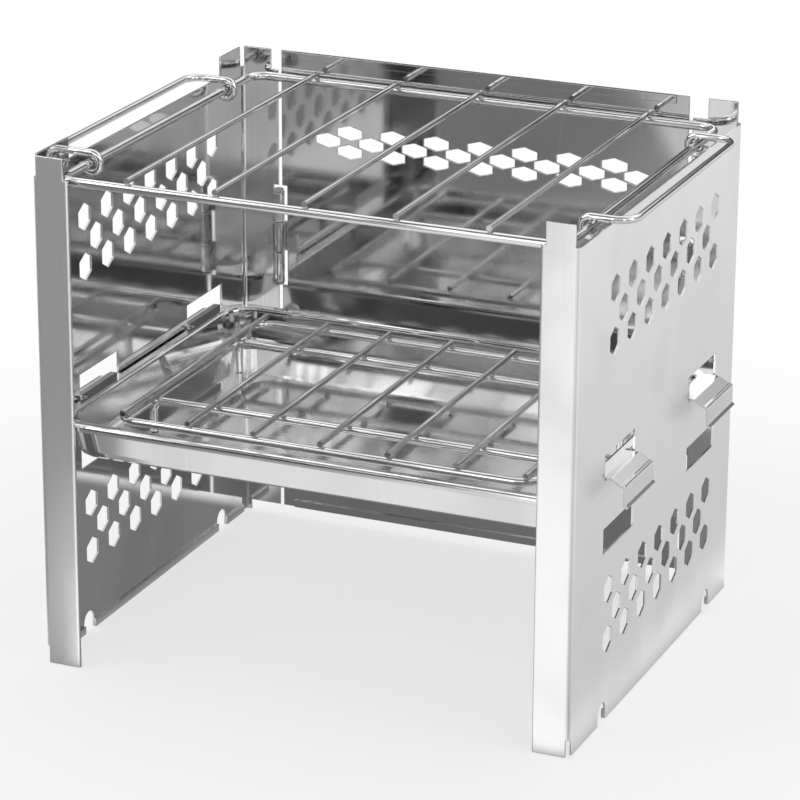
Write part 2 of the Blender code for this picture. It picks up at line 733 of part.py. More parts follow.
def axis_empty(name, place, parent=None):
    """An empty on a joint's axis, which the moving pieces hang from."""
    empty = bpy.data.objects.new(name, None)
    empty.empty_display_size = 0.01
    empty.location = [value * MM for value in place]
    parts.objects.link(empty)
    if parent:
        empty.parent = parent
        empty.location = empty.location - parent.location
    return empty


def hang(empty, names):
    """Parents pieces to an empty without moving them."""
    bpy.context.view_layer.update()
    for name in names:
        piece = bpy.data.objects[name]
        piece.parent = empty
        piece.matrix_parent_inverse = empty.matrix_world.inverted()


def joints():
    top_names = ["top_grate_frame"] + ["top_grate_rod_" + str(k + 1) for k in range(TOP_ROD_COUNT)]
    fire_names = ["fire_grate_frame", "fire_grate_feet_front", "fire_grate_feet_rear"]
    fire_names += ["fire_grate_rod_" + str(k + 1) for k in range(FIRE_ROD_COUNT)]
    tray_axis = axis_empty("tray_axis", (0.0, TRAY_CENTRE_Y, TRAY_FLOOR_TOP))
    hang(tray_axis, ["tray"])
    hang(axis_empty("fire_grate_axis", (0.0, TRAY_CENTRE_Y, FIRE_LEVEL), tray_axis), fire_names)
    top_axis = axis_empty("top_grate_axis", (0.0, 0.0, TOP_LEVEL))
    hang(top_axis, top_names)
    for side, tag in SIDE_NAMES.items():
        hang(axis_empty("side_axis_" + tag, (hinge_x(side), HINGE_Y, 0.0)), ["side_panel_" + tag])
        eye = (side * TOP_HALF_X, 0.0, TOP_LEVEL)
        hang(axis_empty("handle_axis_" + tag, eye, top_axis), ["handle_" + tag])


joints()
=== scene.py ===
import math

import bmesh
import bpy
from mathutils import Matrix, Vector


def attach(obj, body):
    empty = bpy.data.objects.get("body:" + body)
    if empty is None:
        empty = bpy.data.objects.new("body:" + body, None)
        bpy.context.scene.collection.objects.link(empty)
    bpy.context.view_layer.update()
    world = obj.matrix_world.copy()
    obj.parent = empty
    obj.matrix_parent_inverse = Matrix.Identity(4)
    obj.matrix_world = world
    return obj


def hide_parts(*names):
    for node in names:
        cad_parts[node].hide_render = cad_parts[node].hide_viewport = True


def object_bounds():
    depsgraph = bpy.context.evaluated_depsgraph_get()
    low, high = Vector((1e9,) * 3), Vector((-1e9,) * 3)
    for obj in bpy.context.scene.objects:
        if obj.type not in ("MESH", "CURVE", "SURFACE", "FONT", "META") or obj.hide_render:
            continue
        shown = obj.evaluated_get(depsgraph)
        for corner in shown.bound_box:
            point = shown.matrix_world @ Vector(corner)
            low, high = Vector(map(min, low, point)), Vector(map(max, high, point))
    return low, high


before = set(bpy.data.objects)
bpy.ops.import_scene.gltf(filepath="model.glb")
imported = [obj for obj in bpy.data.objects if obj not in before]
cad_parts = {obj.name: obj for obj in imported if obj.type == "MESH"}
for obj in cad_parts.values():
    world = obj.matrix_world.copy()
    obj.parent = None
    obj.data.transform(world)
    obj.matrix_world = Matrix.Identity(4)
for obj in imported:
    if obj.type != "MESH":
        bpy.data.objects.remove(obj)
cad_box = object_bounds()


# The folding side panels and the back panel
# Bright stainless sheet, punched with vents, folded along its edges and rolled into hinge
# knuckles. The outside is satin from handling, and the inside keeps its mirror finish.

OUTSIDE_X = 0.1022
OUTSIDE_Y = 0.0847
EDGE_RADIUS = 0.0005
ROLLED_UPRIGHT = (1.0, 1.0, 0.015)
ROLLED_ACROSS = (0.015, 1.0, 1.0)
SHEET_TINT = (1.0, 1.003, 1.010)
SMUDGE_INSIDE = (0.88, 0.88, 0.875)
SMUDGE_OUTSIDE = (0.93, 0.93, 0.925)
HAIRLINE_GAIN = 1.12
HAIRLINE_SHARE = 0.22
SMUDGE_ROUGHNESS = 0.07
LINE_ROUGHNESS = 0.05
LINE_DEPTH = 0.0003
WAVE_LEFT_OUTSIDE = 0.05


def feed(tree, node, inputs):
    """Gives each named or numbered input a value, or links it to the output given for it."""
    for key, value in inputs.items():
        if isinstance(value, bpy.types.NodeSocket):
            tree.links.new(value, node.inputs[key])
        else:
            node.inputs[key].default_value = value


def add_node(tree, kind, place, inputs=None, **settings):
    """Adds one node to a tree at a place in the editor, with its settings and its inputs."""
    node = tree.nodes.new(kind)
    node.location = place
    for name, value in settings.items():
        setattr(node, name, value)
    feed(tree, node, inputs or {})
    return node


def add_sockets(tree, way, kind, sockets):
    """Adds sockets of one kind to a group. Each has its name and a value, or None."""
    for name, value in sockets.items():
        socket = tree.interface.new_socket(name, in_out=way, socket_type="NodeSocket" + kind)
        if value is not None:
            socket.default_value = value


def math_node(tree, operation, place, *values):
    """The result of one Math node. Each value is a number or an output."""
    return add_node(tree, "ShaderNodeMath", place, dict(enumerate(values)),
                    operation=operation).outputs[0]


def map_range(tree, value, start, end, low, high, place, curve="LINEAR"):
    """A value that goes from low to high while another goes from start to end."""
    node = add_node(tree, "ShaderNodeMapRange", place,
                    {"Value": value, "From Min": start, "From Max": end, "To Min": low,
                     "To Max": high}, interpolation_type=curve)
    return node.outputs["Result"]


def blend_colours(tree, mask, first, second, place):
    """A colour that goes from the first to the second with a mask. Either may be an output."""
    return add_node(tree, "ShaderNodeMix", place, {0: mask, 6: first, 7: second},
                    data_type="RGBA").outputs[2]


def shade(level, tint=(1.0, 1.0, 1.0)):
    """A colour of one brightness with a slight tint."""
    return tuple(level * share for share in tint) + (1.0,)


def new_material(name, metallic):
    """A material with its tree and its shader."""
    material = bpy.data.materials.new(name)
    material.use_nodes = True
    tree = material.node_tree
    shader = tree.nodes["Principled BSDF"]
    shader.inputs["Metallic"].default_value = metallic
    return material, tree, shader


def rolled_sheet_group():
    """Shader group of cold-rolled sheet: rolling lines, slow waviness, smudges and hairlines."""
    tree = bpy.data.node_groups.new("rolled_sheet", "ShaderNodeTree")
    add_sockets(tree, "INPUT", "Float", {"Line Scale": 900.0, "Wave Scale": 12.0,
                                         "Smudge Scale": 24.0, "Hairline Scale": 150.0})
    add_sockets(tree, "INPUT", "Vector", {"Grain": ROLLED_UPRIGHT})
    add_sockets(tree, "OUTPUT", "Float",
                dict.fromkeys(("Lines", "Wave", "Smudge", "Hairlines")))
    source = add_node(tree, "NodeGroupInput", (-1100, 0)).outputs
    place = add_node(tree, "ShaderNodeTexCoord", (-1100, -300)).outputs["Object"]

    stretch = add_node(tree, "ShaderNodeMapping", (-850, 300),
                       {"Vector": place, "Scale": source["Grain"]})
    lines = add_node(tree, "ShaderNodeTexNoise", (-600, 300),
                     {"Vector": stretch.outputs["Vector"], "Scale": source["Line Scale"],
                      "Detail": 3.0})
    wave = add_node(tree, "ShaderNodeTexNoise", (-600, 0),
                    {"Vector": place, "Scale": source["Wave Scale"], "Detail": 0.5})
    smudge = add_node(tree, "ShaderNodeTexNoise", (-600, -300),
                      {"Vector": place, "Scale": source["Smudge Scale"], "Detail": 1.5,
                       "Distortion": 0.4})
    spread = map_range(tree, smudge.outputs["Fac"], 0.40, 0.72, 0.0, 1.0, (-300, -300),
                       "SMOOTHSTEP")

    # A hairline is a thin band round one level of a noise that is drawn out along the sheet.
    tilt = add_node(tree, "ShaderNodeMapping", (-850, -600),
                    {"Vector": place, "Rotation": (0.12, 0.16, 0.0), "Scale": (1.0, 1.0, 0.03)})
    hairs = add_node(tree, "ShaderNodeTexNoise", (-600, -600),
                     {"Vector": tilt.outputs["Vector"], "Scale": source["Hairline Scale"],
                      "Detail": 0.0})
    offset = math_node(tree, "SUBTRACT", (-420, -600), hairs.outputs["Fac"], 0.62)
    away = math_node(tree, "ABSOLUTE", (-260, -600), offset)
    narrow = map_range(tree, away, 0.0, 0.008, 1.0, 0.0, (-100, -600))
    add_node(tree, "NodeGroupOutput", (600, 0),
             {"Lines": lines.outputs["Fac"], "Wave": wave.outputs["Fac"], "Smudge": spread,
              "Hairlines": narrow})
    return tree


def outside_mask(tree):
    """One on the outer faces of the walls, zero inside: how far a point lies out along X or Y."""
    place = add_node(tree, "ShaderNodeTexCoord", (-1500, 500)).outputs["Object"]
    parts = add_node(tree, "ShaderNodeSeparateXYZ", (-1300, 500), {0: place})
    masks = []
    for axis, limit, height in (("X", OUTSIDE_X, 620), ("Y", OUTSIDE_Y, 420)):
        size = math_node(tree, "ABSOLUTE", (-1100, height), parts.outputs[axis])
        masks.append(math_node(tree, "GREATER_THAN", (-950, height), size, limit))
    return math_node(tree, "MAXIMUM", (-800, 520), *masks)


def sheet_steel(name, tone, gloss, wave_depth, grain=ROLLED_UPRIGHT):
    """Stainless sheet. tone and gloss hold the shade and the roughness, first inside and then
    outside, and grain is small along the way the sheet was rolled."""
    material, tree, shader = new_material(name, 1.0)
    masks = add_node(tree, "ShaderNodeGroup", (-1100, 0), node_tree=rolled_sheet)
    masks.inputs["Grain"].default_value = grain
    lines, wave, smudge, hairlines = (masks.outputs[key] for key in
                                      ("Lines", "Wave", "Smudge", "Hairlines"))
    outside = outside_mask(tree)
    clean = blend_colours(tree, outside, shade(tone[0], SHEET_TINT), shade(tone[1], SHEET_TINT),
                          (-800, 450))
    dull = blend_colours(tree, outside, shade(tone[0], SMUDGE_INSIDE),
                         shade(tone[1], SMUDGE_OUTSIDE), (-800, 250))
    smudged = blend_colours(tree, smudge, clean, dull, (-600, 300))
    faint = math_node(tree, "MULTIPLY", (-800, 120), hairlines, HAIRLINE_SHARE)
    colour = blend_colours(tree, faint, smudged, shade(min(1.0, tone[1] * HAIRLINE_GAIN)),
                           (-350, 300))

    base = map_range(tree, outside, 0.0, 1.0, gloss[0], gloss[1], (-600, 50))
    soil = math_node(tree, "MULTIPLY_ADD", (-400, 50), smudge, SMUDGE_ROUGHNESS, base)
    streak = math_node(tree, "MULTIPLY_ADD", (-200, 50), lines, LINE_ROUGHNESS, soil)

    edge = add_node(tree, "ShaderNodeBevel", (-600, -500), {"Radius": EDGE_RADIUS}, samples=4)
    depth = map_range(tree, outside, 0.0, 1.0, wave_depth, wave_depth * WAVE_LEFT_OUTSIDE,
                      (-1000, -400))
    swell = math_node(tree, "MULTIPLY", (-800, -250), wave, depth)
    height = math_node(tree, "MULTIPLY_ADD", (-600, -250), lines, LINE_DEPTH, swell)
    bump = add_node(tree, "ShaderNodeBump", (-300, -300),
                    {"Distance": 0.001, "Height": height, "Normal": edge.outputs["Normal"]})
    feed(tree, shader, {"Base Color": colour, "Roughness": streak,
                        "Normal": bump.outputs["Normal"]})
    return material


def clothe(node, material):
    """Gives a CAD node's slots one material."""
    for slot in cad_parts[node].material_slots:
        slot.material = material


rolled_sheet = rolled_sheet_group()
side_finish = sheet_steel("side_panel_bright_steel", (0.74, 0.93), (0.03, 0.20), 0.22)
# The back panel is the same steel as the sides in a darker tone inside and out: painted shade.
back_panel_shaded_steel = sheet_steel("back_panel_steel_painted_darker", (0.55, 0.80), (0.03, 0.20), 0.22)
for hand in ("left", "right"):
    clothe("side_panel_" + hand, side_finish)
clothe("back_panel", back_panel_shaded_steel)


# The hinge pins
# Short headed pins of turned stainless rod, slipped through the rolled knuckles. The lathe
# leaves fine rings round each one.

FINE_DEPTH = 0.00003
WORN_ROUGHNESS = 0.12


def turned_steel(name, tone, gloss):
    """Turned steel rod: rings along the rod's length in its gloss and its shade."""
    material, tree, shader = new_material(name, 1.0)
    place = add_node(tree, "ShaderNodeTexCoord", (-900, 0)).outputs["Object"]
    rings = add_node(tree, "ShaderNodeTexWave", (-650, 0),
                     {"Vector": place, "Scale": 900.0, "Distortion": 1.5},
                     bands_direction="Z").outputs["Fac"]
    rough = map_range(tree, rings, 0.0, 1.0, gloss, gloss + WORN_ROUGHNESS, (-400, 0))
    colour = blend_colours(tree, rings, shade(tone, (0.85, 0.85, 0.84)), shade(tone), (-400, 260))
    bump = add_node(tree, "ShaderNodeBump", (-400, -250),
                    {"Strength": 0.5, "Distance": FINE_DEPTH, "Height": rings})
    feed(tree, shader, {"Base Color": colour, "Roughness": rough,
                        "Normal": bump.outputs["Normal"]})
    return material


pin_finish = turned_steel("hinge_pin_turned_steel", 0.60, 0.22)
for hand in ("left", "right"):
    for level in ("lower", "upper"):
        clothe("hinge_pin_" + hand + "_" + level, pin_finish)


# The tray
# A shallow pan pressed from one stainless sheet, with its rim turned down and four hooks that
# hang in the side windows. The pressed floor is close to a mirror and softly wavy.

tray_finish = sheet_steel("tray_pressed_steel", (0.72, 0.80), (0.05, 0.16), 0.40,
                          ROLLED_ACROSS)
clothe("tray", tray_finish)


# The fire grate
# Round stainless wire: a closed frame with seven thinner rods welded across it, and two foot
# wires bent down at their ends so that it stands in the tray.

FIRE_LEVEL = 0.0919
FIRE_CENTRE_Y = -0.0067
FIRE_WIRE = 0.0015
FIRE_ROD = 0.0011
FIRE_HALF_X = 0.081
FIRE_HALF_Y = 0.060
FIRE_BEND = 0.008
FIRE_ROD_X = [-0.078 + 0.026 * k for k in range(7)]
FIRE_ROD_PAST = 0.0008
FIRE_BEAD = 0.0008
FIRE_FOOT_Y = 0.036
FIRE_FOOT_X = 0.0779
FIRE_FOOT_Z = 0.0799
FIRE_FOOT_BEND = 0.004
WELD_GAP = 0.0001
BEND_STEPS = 10
WIRE_SIDES = 20


def bent_wire_tree():
    """Geometry Nodes tree that rounds the corners of a path and sweeps a round wire along it. It
    keeps each point's way along the wire and its place on the round section."""
    tree = bpy.data.node_groups.new("bent_wire", "GeometryNodeTree")
    add_sockets(tree, "INPUT", "Geometry", {"Path": None})
    add_sockets(tree, "INPUT", "Float", {"Wire Radius": 0.0015, "Bend Radius": 0.004})
    add_sockets(tree, "INPUT", "Material", {"Finish": None})
    add_sockets(tree, "OUTPUT", "Geometry", {"Wire": None})
    source = add_node(tree, "NodeGroupInput", (-900, 0)).outputs
    path = add_node(tree, "GeometryNodeMeshToCurve", (-700, 100), {"Mesh": source["Path"]})
    round_off = add_node(tree, "GeometryNodeFilletCurve", (-500, 100),
                         {"Curve": path.outputs[0], "Count": BEND_STEPS,
                          "Radius": source["Bend Radius"], "Limit Radius": True}, mode="POLY")
    measure = add_node(tree, "GeometryNodeSplineParameter", (-500, -150))
    keep_along = add_node(tree, "GeometryNodeStoreNamedAttribute", (-250, 100),
                          {"Geometry": round_off.outputs[0], "Name": "along",
                           "Value": measure.outputs["Length"]},
                          data_type="FLOAT", domain="POINT")
    circle = add_node(tree, "GeometryNodeCurvePrimitiveCircle", (-500, -350),
                      {"Resolution": WIRE_SIDES, "Radius": source["Wire Radius"]})
    spot = add_node(tree, "GeometryNodeInputPosition", (-500, -520))
    keep_ring = add_node(tree, "GeometryNodeStoreNamedAttribute", (-250, -350),
                         {"Geometry": circle.outputs[0], "Name": "ring",
                          "Value": spot.outputs[0]},
                         data_type="FLOAT_VECTOR", domain="POINT")
    sweep = add_node(tree, "GeometryNodeCurveToMesh", (50, 50),
                     {"Curve": keep_along.outputs[0], "Profile Curve": keep_ring.outputs[0],
                      "Fill Caps": True})
    smooth = add_node(tree, "GeometryNodeSetShadeSmooth", (300, 50),
                      {"Geometry": sweep.outputs[0]})
    real = add_node(tree, "GeometryNodeRealizeInstances", (550, 50),
                    {"Geometry": smooth.outputs[0]})
    finish = add_node(tree, "GeometryNodeSetMaterial", (800, 50),
                      {"Geometry": real.outputs[0], "Material": source["Finish"]})
    add_node(tree, "NodeGroupOutput", (1100, 0), {"Wire": finish.outputs[0]})
    return tree


def weld_bead_tree():
    """Geometry Nodes tree that sets a small uneven bead on each point."""
    tree = bpy.data.node_groups.new("weld_beads", "GeometryNodeTree")
    add_sockets(tree, "INPUT", "Geometry", {"Spots": None})
    add_sockets(tree, "INPUT", "Float", {"Bead Radius": FIRE_BEAD})
    add_sockets(tree, "INPUT", "Int", {"Seed": 4})
    add_sockets(tree, "INPUT", "Material", {"Finish": None})
    add_sockets(tree, "OUTPUT", "Geometry", {"Beads": None})
    source = add_node(tree, "NodeGroupInput", (-800, 0)).outputs
    ball = add_node(tree, "GeometryNodeMeshIcoSphere", (-500, -200),
                    {"Radius": source["Bead Radius"], "Subdivisions": 2})
    size = add_node(tree, "FunctionNodeRandomValue", (-500, -400),
                    {0: (0.85, 1.0, 0.55), 1: (1.15, 1.35, 0.75), "Seed": source["Seed"]},
                    data_type="FLOAT_VECTOR")
    place = add_node(tree, "GeometryNodeInstanceOnPoints", (-200, 0),
                     {"Points": source["Spots"], "Instance": ball.outputs["Mesh"],
                      "Scale": size.outputs[0]})
    real = add_node(tree, "GeometryNodeRealizeInstances", (100, 0),
                    {"Geometry": place.outputs[0]})
    smooth = add_node(tree, "GeometryNodeSetShadeSmooth", (350, 0),
                      {"Geometry": real.outputs[0]})
    finish = add_node(tree, "GeometryNodeSetMaterial", (600, 0),
                      {"Geometry": smooth.outputs[0], "Material": source["Finish"]})
    add_node(tree, "NodeGroupOutput", (900, 0), {"Beads": finish.outputs[0]})
    return tree


wire_shape = bent_wire_tree()
bead_shape = weld_bead_tree()


def grown(name, points, edges, tree, values):
    """A plain mesh grown by a tree from points and edges. Values are the tree's inputs by name."""
    seed_mesh = bpy.data.meshes.new(name + "_path")
    seed_mesh.from_pydata([tuple(point) for point in points], edges, [])
    grower = bpy.data.objects.new(name + "_path", seed_mesh)
    bpy.context.scene.collection.objects.link(grower)
    modifier = grower.modifiers.new("grow", "NODES")
    modifier.node_group = tree
    sockets = {item.name: item.identifier for item in tree.interface.items_tree
               if item.in_out == "INPUT"}
    for key, value in values.items():
        modifier[sockets[key]] = value
    evaluated = grower.evaluated_get(bpy.context.evaluated_depsgraph_get())
    mesh = bpy.data.meshes.new_from_object(evaluated)
    grower.modifiers.clear()
    bpy.data.objects.remove(grower)
    mesh.name = name
    piece = bpy.data.objects.new(name, mesh)
    bpy.context.scene.collection.objects.link(piece)
    return piece


def bent_wire(name, paths, radius, bend, finish, closed=False):
    """One piece of wire per path of corners, all in one mesh."""
    points, edges = [], []
    for path in paths:
        start = len(points)
        points += [Vector(point) for point in path]
        edges += [(start + k, start + k + 1) for k in range(len(path) - 1)]
        if closed:
            edges.append((len(points) - 1, start))
    return grown(name, points, edges, wire_shape,
                 {"Wire Radius": radius, "Bend Radius": bend, "Finish": finish})


def frame_corners(half_x, front, rear, z):
    """Corners of a level frame, from the front left one round to the rear left one."""
    return [(-half_x, front, z), (half_x, front, z), (half_x, rear, z), (-half_x, rear, z)]


def rods_across(xs, front, middle, rear, z):
    """One straight line from front to rear for each x."""
    return [[(x, y, z) for y in (front, middle, rear)] for x in xs]


def drawn_wire(name, tone, gloss, marked):
    """Bright drawn wire: fine lines along the wire, soft dull patches and darker marks."""
    material, tree, shader = new_material(name, 1.0)
    along = add_node(tree, "ShaderNodeAttribute", (-1500, 0), attribute_name="along")
    ring = add_node(tree, "ShaderNodeAttribute", (-1500, -250), attribute_name="ring")
    shrink = math_node(tree, "MULTIPLY", (-1300, 0), along.outputs["Fac"], 0.02)
    parts = add_node(tree, "ShaderNodeSeparateXYZ", (-1300, -250), {0: ring.outputs["Vector"]})
    joined = add_node(tree, "ShaderNodeCombineXYZ", (-1100, -100),
                      {"X": parts.outputs["X"], "Y": parts.outputs["Y"], "Z": shrink})
    lines = add_node(tree, "ShaderNodeTexNoise", (-900, -100),
                     {"Vector": joined.outputs[0], "Scale": 2600.0, "Detail": 2.0})
    place = add_node(tree, "ShaderNodeTexCoord", (-1300, 350)).outputs["Object"]
    slow = add_node(tree, "ShaderNodeTexNoise", (-1050, 350),
                    {"Vector": place, "Scale": 38.0, "Detail": 4.0})
    marks = map_range(tree, slow.outputs["Fac"], 0.50, 0.74, 0.0, 1.0, (-850, 350),
                      "SMOOTHSTEP")
    colour = blend_colours(tree, marks, shade(tone, (1.0, 1.0, 1.006)), marked, (-500, 350))
    worn = map_range(tree, marks, 0.0, 1.0, gloss, gloss + WORN_ROUGHNESS, (-600, 80))
    fine = math_node(tree, "MULTIPLY_ADD", (-350, 50), lines.outputs["Fac"], 0.08, worn)
    bump = add_node(tree, "ShaderNodeBump", (-350, -250),
                    {"Strength": 0.35, "Distance": FINE_DEPTH, "Height": lines.outputs["Fac"]})
    feed(tree, shader, {"Base Color": colour, "Roughness": fine,
                        "Normal": bump.outputs["Normal"]})
    return material


def welded_spot(name):
    """The blue-brown heat colour and coarse skin of a spot weld that was never polished."""
    material, tree, shader = new_material(name, 1.0)
    place = add_node(tree, "ShaderNodeTexCoord", (-900, 0)).outputs["Object"]
    grain = add_node(tree, "ShaderNodeTexNoise", (-650, 0),
                     {"Vector": place, "Scale": 1400.0, "Detail": 3.0}).outputs["Fac"]
    colour = blend_colours(tree, grain, (0.34, 0.33, 0.34, 1.0), (0.62, 0.59, 0.56, 1.0),
                           (-350, 250))
    rough = map_range(tree, grain, 0.0, 1.0, 0.22, 0.45, (-350, 0))
    bump = add_node(tree, "ShaderNodeBump", (-350, -250),
                    {"Strength": 0.6, "Distance": 0.0001, "Height": grain})
    feed(tree, shader, {"Base Color": colour, "Roughness": rough,
                        "Normal": bump.outputs["Normal"]})
    return material


fire_finish = drawn_wire("fire_grate_drawn_wire", 0.66, 0.06, (0.52, 0.505, 0.49, 1.0))
weld_finish = welded_spot("spot_weld_heat_tint")

corners = frame_corners(FIRE_HALF_X, FIRE_CENTRE_Y - FIRE_HALF_Y, FIRE_CENTRE_Y + FIRE_HALF_Y,
                        FIRE_LEVEL)
fire_frame = bent_wire("fire_grate_frame_wire", [corners], FIRE_WIRE, FIRE_BEND, fire_finish,
                       closed=True)
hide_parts("fire_grate_frame")

rod_reach = FIRE_HALF_Y + FIRE_ROD_PAST
rod_lines = rods_across(FIRE_ROD_X, FIRE_CENTRE_Y - rod_reach, FIRE_CENTRE_Y,
                        FIRE_CENTRE_Y + rod_reach, FIRE_LEVEL + FIRE_WIRE + FIRE_ROD + WELD_GAP)
fire_rods = bent_wire("fire_grate_rods", rod_lines, FIRE_ROD, 0.0, fire_finish)
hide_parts(*["fire_grate_rod_" + str(k + 1) for k in range(7)])

for tag, sign in (("front", -1), ("rear", 1)):
    y = FIRE_CENTRE_Y + sign * FIRE_FOOT_Y
    corners = [(-FIRE_FOOT_X, y, FIRE_FOOT_Z), (-FIRE_FOOT_X, y, FIRE_LEVEL),
               (FIRE_FOOT_X, y, FIRE_LEVEL), (FIRE_FOOT_X, y, FIRE_FOOT_Z)]
    feet = bent_wire("fire_grate_" + tag + "_feet_wire", [corners], FIRE_WIRE, FIRE_FOOT_BEND,
                     fire_finish)
    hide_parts("fire_grate_feet_" + tag)
    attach(feet, "fire_grate")

weld_z = FIRE_LEVEL + FIRE_WIRE
spots = [(x, FIRE_CENTRE_Y + s * FIRE_HALF_Y, weld_z) for x in FIRE_ROD_X for s in (-1, 1)]
spots += [(x, FIRE_CENTRE_Y + s * FIRE_FOOT_Y, weld_z) for x in FIRE_ROD_X[1:-1]
          for s in (-1, 1)]
spots += [(s * (FIRE_HALF_X - FIRE_WIRE), FIRE_CENTRE_Y + t * FIRE_FOOT_Y, FIRE_LEVEL)
          for s in (-1, 1) for t in (-1, 1)]
fire_welds = grown("fire_grate_welds", spots, [], bead_shape,
                   {"Bead Radius": FIRE_BEAD, "Seed": 4, "Finish": weld_finish})
for piece in (fire_frame, fire_rods, fire_welds):
    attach(piece, "fire_grate")


# The top grate and its handles
# A heavier closed frame with five rods welded on top of it. A bail at each end has an eye
# bent round the frame's side wire, so that it swings over the panel's edge.

TOP_LEVEL = 0.18335
TOP_WIRE = 0.0017
TOP_ROD = 0.0011
TOP_HALF_X = 0.095
TOP_FRONT = -0.0791
TOP_REAR = 0.0801
TOP_BEND = 0.007
TOP_ROD_X = [-0.068 + 0.034 * k for k in range(5)]
TOP_ROD_PAST = 0.0006
TOP_BEAD = 0.0009
HANDLE_WIRE = 0.0014
HANDLE_SPREAD = 0.0551
HANDLE_OUT = 0.015
HANDLE_BEND = 0.007
HANDLE_LEG_START = 0.001
EYE_RADIUS = 0.00345
EYE_TURN = math.radians(265.0)
EYE_STEPS = 32

top_finish = drawn_wire("top_grate_drawn_wire", 0.70, 0.05, (0.58, 0.565, 0.55, 1.0))

corners = frame_corners(TOP_HALF_X, TOP_FRONT, TOP_REAR, TOP_LEVEL)
top_frame = bent_wire("top_grate_frame_wire", [corners], TOP_WIRE, TOP_BEND, top_finish,
                      closed=True)
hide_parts("top_grate_frame")

rod_lines = rods_across(TOP_ROD_X, TOP_FRONT - TOP_ROD_PAST, 0.0, TOP_REAR + TOP_ROD_PAST,
                        TOP_LEVEL + TOP_WIRE + TOP_ROD + WELD_GAP)
top_rods = bent_wire("top_grate_rods", rod_lines, TOP_ROD, 0.0, top_finish)
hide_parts(*["top_grate_rod_" + str(k + 1) for k in range(5)])

spots = [(x, y, TOP_LEVEL + TOP_WIRE) for x in TOP_ROD_X for y in (TOP_FRONT, TOP_REAR)]
top_welds = grown("top_grate_welds", spots, [], bead_shape,
                  {"Bead Radius": TOP_BEAD, "Seed": 9, "Finish": weld_finish})
for piece in (top_frame, top_rods, top_welds):
    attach(piece, "top_grate")


def rounded_corner(before, corner, after):
    """Points of a quarter turn at a right-angled corner of a bail."""
    to_before = (before - corner).normalized()
    to_after = (after - corner).normalized()
    centre = corner + (to_before + to_after) * HANDLE_BEND
    turn = [math.pi / 2 * k / BEND_STEPS for k in range(BEND_STEPS + 1)]
    return [centre - to_after * HANDLE_BEND * math.cos(a) - to_before * HANDLE_BEND * math.sin(a)
            for a in turn]


def handle_path(side):
    """The centre line of a bail, from one eye round the grip to the other eye."""
    middle = (TOP_FRONT + TOP_REAR) / 2
    start = TOP_HALF_X + HANDLE_LEG_START
    out = TOP_HALF_X + HANDLE_OUT
    leg_z = TOP_LEVEL + EYE_RADIUS
    eye = []
    for k in range(EYE_STEPS + 1):
        angle = math.pi / 2 + EYE_TURN * (1 - k / EYE_STEPS)
        eye.append((TOP_HALF_X + EYE_RADIUS * math.cos(angle),
                    TOP_LEVEL + EYE_RADIUS * math.sin(angle)))
    plan = [Vector((x, middle + s * HANDLE_SPREAD, leg_z))
            for x, s in ((start, -1), (out, -1), (out, 1), (start, 1))]
    path = [Vector((x, middle - HANDLE_SPREAD, z)) for x, z in eye]
    path += [plan[0]] + rounded_corner(*plan[:3]) + rounded_corner(*plan[1:]) + [plan[3]]
    path += [Vector((x, middle + HANDLE_SPREAD, z)) for x, z in reversed(eye)]
    return [Vector((side * p.x, p.y, p.z)) for p in path]


handle_finish = drawn_wire("handle_drawn_wire", 0.70, 0.06, (0.56, 0.545, 0.53, 1.0))
for side, tag in ((-1, "left"), (1, "right")):
    handle = bent_wire("handle_" + tag + "_wire", [handle_path(side)], HANDLE_WIRE, 0.0,
                       handle_finish)
    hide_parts("handle_" + tag)
    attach(handle, tag + "_handle")


# The floor, the light and the camera
# A plain pale floor that fades into a white background, and soft lamps left, right and above.
# Bright metal mirrors a room of light and dark bands instead of the white that the eye sees, and a
# floor glow with painted bands, a painted shadow under the stove and painted shade in front.

FLOOR_HALF = 30.0
FLOOR_GAP = 0.0005
# Levels of the painted light and dark bands across X, in the floor glow that only reflections see.
PAINTED_GLOW_BANDS = ((0.0, 0.38), (0.26, 0.40), (0.31, 0.55), (0.45, 0.57), (0.64, 0.60), (0.68, 0.34),
               (0.80, 0.38), (1.0, 0.46))
FLOOR_BANDS_HALF = 0.34
STOVE_HALF_X = 0.1
STOVE_HALF_Y = 0.085
FRONT_WALL = ((0.0, 0.08), (0.08, 0.02), (0.27, 0.02), (0.315, 0.90), (0.43, 0.92), (0.46, 0.06),
              (0.51, 0.06), (0.55, 0.90), (0.72, 0.95), (0.76, 0.08), (0.82, 0.08), (0.88, 0.14),
              (1.0, 0.14))
BACK_WALL = ((0.0, 0.40), (0.13, 0.40), (0.18, 0.04), (0.38, 0.04), (0.45, 0.42), (0.80, 0.42),
             (0.88, 0.12), (1.0, 0.12))
MIRRORED_STRENGTH = 2.4
ROOM_STRENGTH = 0.42
LAMP_TARGET = Vector((0.0, 0.0, 0.1))
LAMPS = (("key_light", (-0.9, -0.8, 1.0), 0.5, 0.9, 3.6),
         ("right_light", (1.3, -0.3, 0.6), 0.35, 1.1, 3.0),
         ("top_light", (0.0, 0.4, 1.3), 1.6, 1.1, 4.4),
         ("left_strip", (-0.30, -1.45, 0.60), 0.30, 0.9, 1.4),
         ("right_strip", (0.95, -1.10, 0.55), 0.24, 0.9, 1.1))
CAMERA_PLACE = (0.505, -1.175, 0.550)
CAMERA_LENS = 165.9
CAMERA_SHIFT = (-0.0025, -0.0094)
CAMERA_YAW = math.radians(23.15)
CAMERA_PITCH = math.radians(19.7)
CAMERA_ROLL = math.radians(0.3)


def grey_ramp(tree, value, stops, place):
    """A grey that follows a value through stops, from the one at 0 to the one at 1."""
    ramp = add_node(tree, "ShaderNodeValToRGB", place, {"Fac": value})
    elements = ramp.color_ramp.elements
    for spot, level in stops:
        stop = elements[0] if spot == 0.0 else elements[-1] if spot == 1.0 else elements.new(spot)
        stop.color = shade(level)
    return ramp.outputs["Color"]


